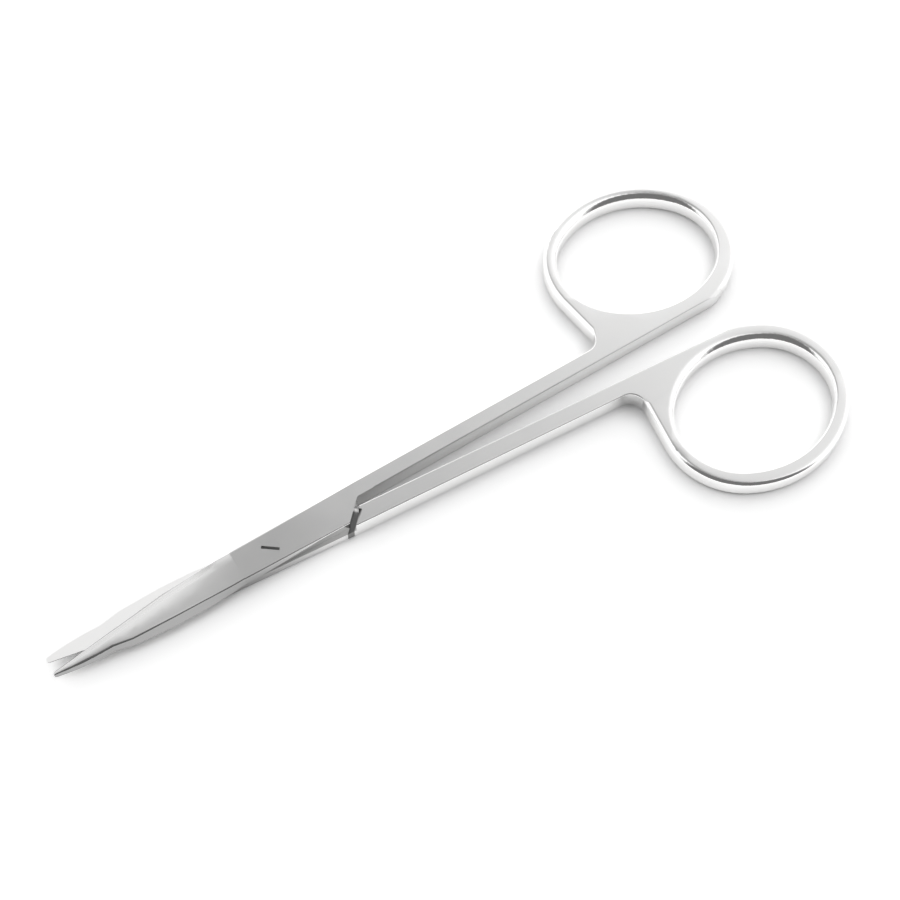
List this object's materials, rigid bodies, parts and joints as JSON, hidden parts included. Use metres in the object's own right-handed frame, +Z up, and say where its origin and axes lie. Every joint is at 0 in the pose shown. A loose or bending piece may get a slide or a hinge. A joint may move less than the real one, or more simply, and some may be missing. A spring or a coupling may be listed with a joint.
{
  "type": "dissecting scissors",
  "caption": "Slim forged dissecting scissors: straight tapered blades crossing in a half-lap joint on a slotted screw, long square shanks and oval finger rings",
  "frame": {"origin": "centre of the bounding box's underside, on the surface the closed-flat scissors lie on", "axes": "+X from the tips to the finger rings along the line that halves the opening, +Y to the side of the upper half's ring, +Z up"},
  "size_m": [0.1162, 0.0544, 0.003],
  "materials": {
    "half_steel": "satin ground flats, polished roundings",
    "screw_steel": "satin, ground flush with the joint"
  },
  "bodies": {
    "lower": {"lower_half": "half_steel", "pivot_screw": "screw_steel"},
    "upper": {"upper_half": "half_steel"}
  },
  "joints": [
    {"name": "pivot", "type": "hinge", "parent": "lower", "child": "upper", "pos_m": [-0.02554, 0, 0.0015], "axis": [0, 0, 1], "range_deg": [-3.3, 86.3]}
  ]
}
